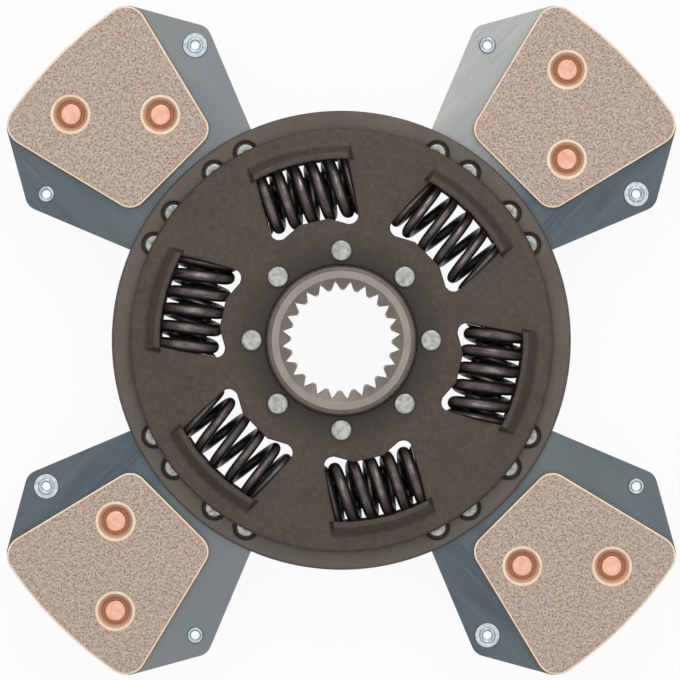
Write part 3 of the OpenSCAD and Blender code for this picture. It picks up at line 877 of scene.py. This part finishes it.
def wind_spring(name, length, coil, steps_per_turn):
    """The mesh of a spring along +X about the origin, +Y outward, with ends ground square."""
    coil_r = (coil.outside - coil.wire) / 2
    wire_r = coil.wire / 2
    sides = coil.sides
    line = wound_line(length, coil, steps_per_turn)
    hand = -1 if coil.left_hand else 1
    first = 0 if coil.starts_in_front else 180
    points = []
    for turn, x in line:
        a = math.radians(turn + first)
        points.append(Vector((x, hand * coil_r * math.cos(a), coil_r * math.sin(a))))

    mesh = bmesh.new()
    wire_uv = mesh.loops.layers.uv.new("wire")
    outside_layer = mesh.verts.layers.float.new("outside")
    rings = []
    run = [0.0]
    for i, point in enumerate(points):
        before = points[max(i - 1, 0)]
        after = points[min(i + 1, len(points) - 1)]
        tangent = (after - before).normalized()
        outward = Vector((0, point.y, point.z)).normalized()
        across = tangent.cross(outward).normalized()
        outward = across.cross(tangent)
        ring = []
        for k in range(sides):
            b = 2 * math.pi * k / sides
            vert = mesh.verts.new(point + wire_r * (math.cos(b) * outward + math.sin(b) * across))
            vert[outside_layer] = math.cos(b)
            ring.append(vert)
        rings.append(ring)
        if i:
            run.append(run[-1] + (point - before).length)
    for i in range(len(rings) - 1):
        for k in range(sides):
            nxt = (k + 1) % sides
            face = mesh.faces.new((rings[i][k], rings[i + 1][k], rings[i + 1][nxt], rings[i][nxt]))
            for loop, (j, m) in zip(face.loops, ((i, k), (i + 1, k), (i + 1, k + 1), (i, k + 1))):
                loop[wire_uv].uv = (run[j], math.pi * coil.wire * m / sides)
    mesh.faces.new(rings[0])
    mesh.faces.new(list(reversed(rings[-1])))
    for side in (-1, 1):
        cut = bmesh.ops.bisect_plane(
            mesh,
            geom=mesh.verts[:] + mesh.edges[:] + mesh.faces[:],
            dist=1e-7,
            plane_co=(side * length / 2, 0, 0),
            plane_no=(side, 0, 0),
            clear_outer=True,
        )
        edges = [part for part in cut["geom_cut"] if isinstance(part, bmesh.types.BMEdge)]
        open_edges = [edge for edge in edges if edge.is_boundary]
        bmesh.ops.contextual_create(mesh, geom=open_edges)
    bmesh.ops.recalc_face_normals(mesh, faces=mesh.faces)
    for face in mesh.faces:
        face.smooth = len(face.verts) <= 4
    for edge in mesh.edges:
        edge.smooth = edge.is_manifold and edge.calc_face_angle() < CREASE
    data = bpy.data.meshes.new(name)
    mesh.to_mesh(data)
    mesh.free()
    return data


def fit_spring(node, name, data, material):
    """Puts a spring's mesh in its window, in place of its node.
    """
    middle, along, outward, upward = spring_frame(node)
    axes = Matrix((along, outward, upward)).transposed()
    # Along, outward and up are a right-handed frame, so the mesh isn't turned inside out
    data.transform(Matrix.Translation(middle) @ axes.to_4x4())
    spring = bpy.data.objects.new(name, data)
    bpy.context.scene.collection.objects.link(spring)
    data.materials.append(material)
    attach(spring, "springs")
    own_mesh(spring)
    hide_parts(node)
    return spring


def node_length(node):
    """Length of a spring's node along its own axis."""
    _, along, _, _ = spring_frame(node)
    reach = [v.co.dot(along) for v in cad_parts[node].data.vertices]
    return max(reach) - min(reach)


def spring_material(context):
    """The springs' one material, made when it is first asked for."""
    return bpy.data.materials.get("oil_tempered_spring_wire") or spring_wire(
        "oil_tempered_spring_wire", context.scene.clutch_disc_colours
    )


def wind_group(context, prefix, count, coil):
    """Winds one mesh for each like spring and fits it."""
    for i in range(1, count + 1):
        node = f"{prefix}_{i}"
        length = node_length(node)
        data = wind_spring(
            f"{prefix}_coil_{i}", length, coil, context.scene.clutch_disc_springs.steps_per_turn
        )
        material = spring_material(context)
        fit_spring(node, f"{prefix}_coil_{i}", data, material)


class CLUTCHDISC_OT_heavy_springs(bpy.types.Operator):
    """Wind the four heavy damper springs"""

    bl_idname = "clutch_disc.heavy_springs"
    bl_label = "Wind Heavy Springs"

    def execute(self, context):
        sizes = context.scene.clutch_disc_springs
        coil = Coil(
            outside=sizes.heavy_outside,
            wire=sizes.heavy_wire,
            half_turns=HEAVY_HALF_TURNS,
            closed_share=sizes.heavy_closed,
            starts_in_front=False,
            left_hand=False,
            sides=28,
        )
        wind_group(context, "heavy_spring", 4, coil)
        return {"FINISHED"}


class CLUTCHDISC_OT_inner_springs(bpy.types.Operator):
    """Wind the four springs inside the heavy ones, to the other hand"""

    bl_idname = "clutch_disc.inner_springs"
    bl_label = "Wind Inner Springs"

    def execute(self, context):
        sizes = context.scene.clutch_disc_springs
        coil = Coil(
            outside=sizes.inner_outside,
            wire=sizes.inner_wire,
            half_turns=INNER_HALF_TURNS,
            closed_share=sizes.inner_closed,
            starts_in_front=True,
            left_hand=True,
            sides=16,
        )
        wind_group(context, "inner_spring", 4, coil)
        return {"FINISHED"}


class CLUTCHDISC_OT_light_springs(bpy.types.Operator):
    """Wind the two light damper springs"""

    bl_idname = "clutch_disc.light_springs"
    bl_label = "Wind Light Springs"

    def execute(self, context):
        sizes = context.scene.clutch_disc_springs
        coil = Coil(
            outside=sizes.light_outside,
            wire=sizes.light_wire,
            half_turns=LIGHT_HALF_TURNS,
            closed_share=sizes.light_closed,
            starts_in_front=True,
            left_hand=False,
            sides=24,
        )
        wind_group(context, "light_spring", 2, coil)
        return {"FINISHED"}


# Rolled rims of the eyelets


def rolled_rim(mesh, centre, radius, width, height):
    """Adds a closed ring of elliptical section, half sunk in the face that it stands on."""
    around = 48
    section = 14
    rings = []
    for i in range(around):
        a = 2 * math.pi * i / around
        outward = Vector((math.cos(a), math.sin(a), 0))
        ring = []
        for k in range(section):
            b = 2 * math.pi * k / section
            ring.append(
                mesh.verts.new(
                    centre
                    + outward * (radius + width / 2 * math.cos(b))
                    + Vector((0, 0, height * math.sin(b)))
                )
            )
        rings.append(ring)
    for i in range(around):
        for k in range(section):
            after, up = (i + 1) % around, (k + 1) % section
            face = mesh.faces.new((rings[i][k], rings[after][k], rings[after][up], rings[i][up]))
            face.smooth = True


class CLUTCHDISC_OT_eyelet_rims(bpy.types.Operator):
    """Roll the rims of the eyelets on both faces of the paddles"""

    bl_idname = "clutch_disc.eyelet_rims"
    bl_label = "Roll Eyelet Rims"

    def execute(self, context):
        sizes = context.scene.clutch_disc_eyelets
        material = bpy.data.materials.get("passivated_zinc_plate")
        if material is None:
            raise RuntimeError("Finish the rivets first")
        levels = [corner.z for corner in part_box("eyelets")]
        mesh = bmesh.new()
        for angle in PADDLE_ANGLES:
            a = math.radians(angle)
            along = Vector((math.cos(a), math.sin(a), 0))
            across = Vector((math.sin(a), -math.cos(a), 0))
            for side in (-1, 1):
                for z in levels:
                    place = along * sizes.along + across * side * sizes.across
                    centre = place + Vector((0, 0, z))
                    rolled_rim(mesh, centre, sizes.roll_radius, sizes.roll_width, sizes.roll_height)
        bmesh.ops.recalc_face_normals(mesh, faces=mesh.faces)
        data = bpy.data.meshes.new("eyelet_rims")
        mesh.to_mesh(data)
        mesh.free()
        data.materials.append(material)
        rims = bpy.data.objects.new("eyelet_rims", data)
        bpy.context.scene.collection.objects.link(rims)
        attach(rims, "disc")
        return {"FINISHED"}


# Finishes of the pieces that the frame brings


def finish(names, material):
    """Gives CAD nodes a material."""
    for name in names:
        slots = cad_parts[name].data.materials
        slots.clear()
        slots.append(material)


def numbered(*prefixes):
    """The nodes of four, one on each paddle."""
    return [f"{prefix}_{i}" for prefix in prefixes for i in range(1, 5)]


class CLUTCHDISC_OT_plates(bpy.types.Operator):
    """Finish the cover plates and the driven plates"""

    bl_idname = "clutch_disc.plates"
    bl_label = "Finish Plates"

    def execute(self, context):
        colours = context.scene.clutch_disc_colours
        cover = phosphated_steel(
            "phosphated_cover", colours, colours.phosphate, colours.phosphate_cloud
        )
        plate = phosphated_steel("phosphated_plate", colours, colours.plate, colours.plate_cloud)
        finish(["front_cover_plate", "rear_cover_plate"], cover)
        finish(["front_driven_plate", "rear_driven_plate"], plate)
        return {"FINISHED"}


class CLUTCHDISC_OT_hub(bpy.types.Operator):
    """Finish the hub"""

    bl_idname = "clutch_disc.hub"
    bl_label = "Finish Hub"

    def execute(self, context):
        low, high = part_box("hub")
        colours = context.scene.clutch_disc_colours
        finish(["hub"], turned_steel("turned_and_hardened_steel", colours, (low.z, high.z)))
        return {"FINISHED"}


class CLUTCHDISC_OT_rivets(bpy.types.Operator):
    """Finish the hub rivets, the paddle rivets and the eyelets"""

    bl_idname = "clutch_disc.rivets"
    bl_label = "Finish Rivets"

    def execute(self, context):
        colours = context.scene.clutch_disc_colours
        rivet = zinc_plate("zinc_plated_steel", colours.zinc, colours.zinc_cloud)
        eyelet = zinc_plate("passivated_zinc_plate", colours.passivated, colours.passivated_cloud)
        finish(["hub_rivets", "paddle_rivets"], rivet)
        finish(["eyelets"], eyelet)
        return {"FINISHED"}


class CLUTCHDISC_OT_paddles(bpy.types.Operator):
    """Finish the paddle sheets, each with its streaks along the paddle"""

    bl_idname = "clutch_disc.paddles"
    bl_label = "Finish Paddles"

    def execute(self, context):
        colours = context.scene.clutch_disc_colours
        for i, (angle, (sheen_amount, sheen_side)) in enumerate(zip(PADDLE_ANGLES, PADDLE_SHEEN), 1):
            names = [f"front_paddle_sheet_{i}", f"rear_paddle_sheet_{i}"]
            sheet = tempered_sheet(f"tempered_sheet_{i}", colours, angle, sheen_amount, sheen_side)
            finish(names, sheet)
        return {"FINISHED"}


class CLUTCHDISC_OT_pads(bpy.types.Operator):
    """Finish the friction pads, their backing cups and their rivets"""

    bl_idname = "clutch_disc.pads"
    bl_label = "Finish Pads"

    def execute(self, context):
        colours = context.scene.clutch_disc_colours
        bronze = sintered_bronze("sintered_bronze", colours)
        finish(numbered("front_friction_pad", "rear_friction_pad"), bronze)
        cup = copper_plate("copper_plated_steel", colours)
        finish(numbered("front_pad_cup", "rear_pad_cup"), cup)
        finish(["pad_rivets"], copper_rivet("struck_copper_plate", colours))
        return {"FINISHED"}


class CLUTCHDISC_OT_washers(bpy.types.Operator):
    """Finish the friction washers and the disc spring"""

    bl_idname = "clutch_disc.washers"
    bl_label = "Finish Washers"

    def execute(self, context):
        colours = context.scene.clutch_disc_colours
        compound = friction_compound("friction_compound", colours)
        finish(["front_friction_washer", "rear_friction_washer"], compound)
        finish(["disc_spring"], blackened_steel("blackened_spring_steel", colours))
        return {"FINISHED"}


# Floor, lamps and camera


def pale_floor():
    """Matt white paint, drawn white where it is looked at, with a part left to take shadow."""
    material = new_material("pale_floor")
    seen = add_node(material, "ShaderNodeLightPath", output="Is Camera Ray")
    rays = seen.node.outputs
    for ray in ("Is Glossy Ray", "Is Transmission Ray"):
        seen = add_node(material, "ShaderNodeMath", {0: seen, 1: rays[ray]}, operation="MAXIMUM")
    shown = add_node(material, "ShaderNodeMath", {0: seen, 1: 0.93}, operation="MULTIPLY")
    paint = add_node(material, "ShaderNodeBsdfDiffuse", {"Color": linear("#f2f2f2")})
    white = add_node(material, "ShaderNodeEmission", {"Color": (1, 1, 1, 1), "Strength": 1.0})
    mix = add_node(material, "ShaderNodeMixShader", {0: shown, 1: paint, 2: white})
    add_node(material, "ShaderNodeOutputMaterial", {"Surface": mix})
    return material


def build_floor(stage):
    """A round floor under the hub's long end."""
    low = CAD_BOX[0]
    bpy.ops.mesh.primitive_circle_add(
        vertices=128,
        radius=stage.floor_radius,
        fill_type="NGON",
        location=(0, 0, low[2] - FLOOR_GAP),
    )
    floor = bpy.context.object
    floor.name = "floor"
    floor.data.materials.append(pale_floor())


def build_world(stage):
    """Even light from all round."""
    world = bpy.data.worlds.new("studio")
    world.use_nodes = True
    world.node_tree.nodes.clear()
    background = add_node(
        world, "ShaderNodeBackground", {"Color": (1, 1, 1, 1), "Strength": stage.world_strength}
    )
    add_node(world, "ShaderNodeOutputWorld", {"Surface": background})
    bpy.context.scene.world = world


def build_lamp(name, place, size, power):
    """A square soft lamp that faces the disc."""
    lamp = bpy.data.lights.new(name, "AREA")
    lamp.shape = "SQUARE"
    lamp.size = size
    lamp.energy = power
    holder = bpy.data.objects.new(name, lamp)
    bpy.context.scene.collection.objects.link(holder)
    holder.location = place
    holder.rotation_euler = (-Vector(place)).to_track_quat("-Z", "Y").to_euler()
    holder.visible_camera = False


def build_camera(stage):
    """A camera straight above, with a long lens, framed as the photograph."""
    camera = bpy.data.cameras.new("camera")
    width = PHOTO_PX * PHOTO_MM_PER_PX * MM
    camera.sensor_width = SENSOR_WIDTH_MM
    camera.lens = camera.sensor_width * stage.camera_height / width
    camera.clip_end = VIEW_DEPTH
    holder = bpy.data.objects.new("camera", camera)
    bpy.context.scene.collection.objects.link(holder)
    middle = PHOTO_PX / 2
    holder.location = (
        (middle - PHOTO_AXIS_PX[0]) * PHOTO_MM_PER_PX * MM,
        (PHOTO_AXIS_PX[1] - middle) * PHOTO_MM_PER_PX * MM,
        PHOTO_PLANE_Z + stage.camera_height,
    )
    bpy.context.scene.camera = holder


class CLUTCHDISC_OT_stage(bpy.types.Operator):
    """Build the floor, the lamps and the camera"""

    bl_idname = "clutch_disc.stage"
    bl_label = "Build Stage"

    def execute(self, context):
        stage = context.scene.clutch_disc_stage
        build_floor(stage)
        build_world(stage)
        build_lamp("soft_lamp", (0, 0, stage.lamp_height), stage.lamp_size, stage.lamp_power)
        build_lamp("side_lamp", tuple(stage.side_place), stage.side_size, stage.side_power)
        build_camera(stage)
        context.scene.view_settings.view_transform = "Standard"
        return {"FINISHED"}


class VIEW3D_PT_clutch_disc(bpy.types.Panel):
    """The clutch disc's operators"""

    bl_label = "Clutch Disc"
    bl_space_type = "VIEW_3D"
    bl_region_type = "UI"
    bl_category = "Clutch Disc"

    def draw(self, context):
        for operator in OPERATORS:
            self.layout.operator(operator.bl_idname)
        for group in (
            context.scene.clutch_disc_colours,
            context.scene.clutch_disc_springs,
            context.scene.clutch_disc_eyelets,
            context.scene.clutch_disc_stage,
        ):
            box = self.layout.box()
            for name in group.__annotations__:
                box.prop(group, name)


GROUPS = {
    "clutch_disc_colours": ClutchDiscColours,
    "clutch_disc_springs": ClutchDiscSprings,
    "clutch_disc_eyelets": ClutchDiscEyelets,
    "clutch_disc_stage": ClutchDiscStage,
}
OPERATORS = (
    CLUTCHDISC_OT_plates,
    CLUTCHDISC_OT_hub,
    CLUTCHDISC_OT_rivets,
    CLUTCHDISC_OT_eyelet_rims,
    CLUTCHDISC_OT_paddles,
    CLUTCHDISC_OT_pads,
    CLUTCHDISC_OT_washers,
    CLUTCHDISC_OT_heavy_springs,
    CLUTCHDISC_OT_inner_springs,
    CLUTCHDISC_OT_light_springs,
    CLUTCHDISC_OT_stage,
)


def register():
    """Adds the settings, the operators and the panel to Blender."""
    for name, group in GROUPS.items():
        bpy.utils.register_class(group)
        setattr(bpy.types.Scene, name, PointerProperty(type=group))
    for operator in OPERATORS:
        bpy.utils.register_class(operator)
    bpy.utils.register_class(VIEW3D_PT_clutch_disc)


def unregister():
    """Takes them out again."""
    bpy.utils.unregister_class(VIEW3D_PT_clutch_disc)
    for operator in reversed(OPERATORS):
        bpy.utils.unregister_class(operator)
    for name, group in GROUPS.items():
        delattr(bpy.types.Scene, name)
        bpy.utils.unregister_class(group)


def main():
    """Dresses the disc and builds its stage."""
    register()
    bpy.ops.clutch_disc.plates()
    bpy.ops.clutch_disc.hub()
    bpy.ops.clutch_disc.rivets()
    bpy.ops.clutch_disc.eyelet_rims()
    bpy.ops.clutch_disc.paddles()
    bpy.ops.clutch_disc.pads()
    bpy.ops.clutch_disc.washers()
    bpy.ops.clutch_disc.heavy_springs()
    bpy.ops.clutch_disc.inner_springs()
    bpy.ops.clutch_disc.light_springs()
    bpy.ops.clutch_disc.stage()
    bpy.context.view_layer.update()


if __name__ == "__main__":
    main()
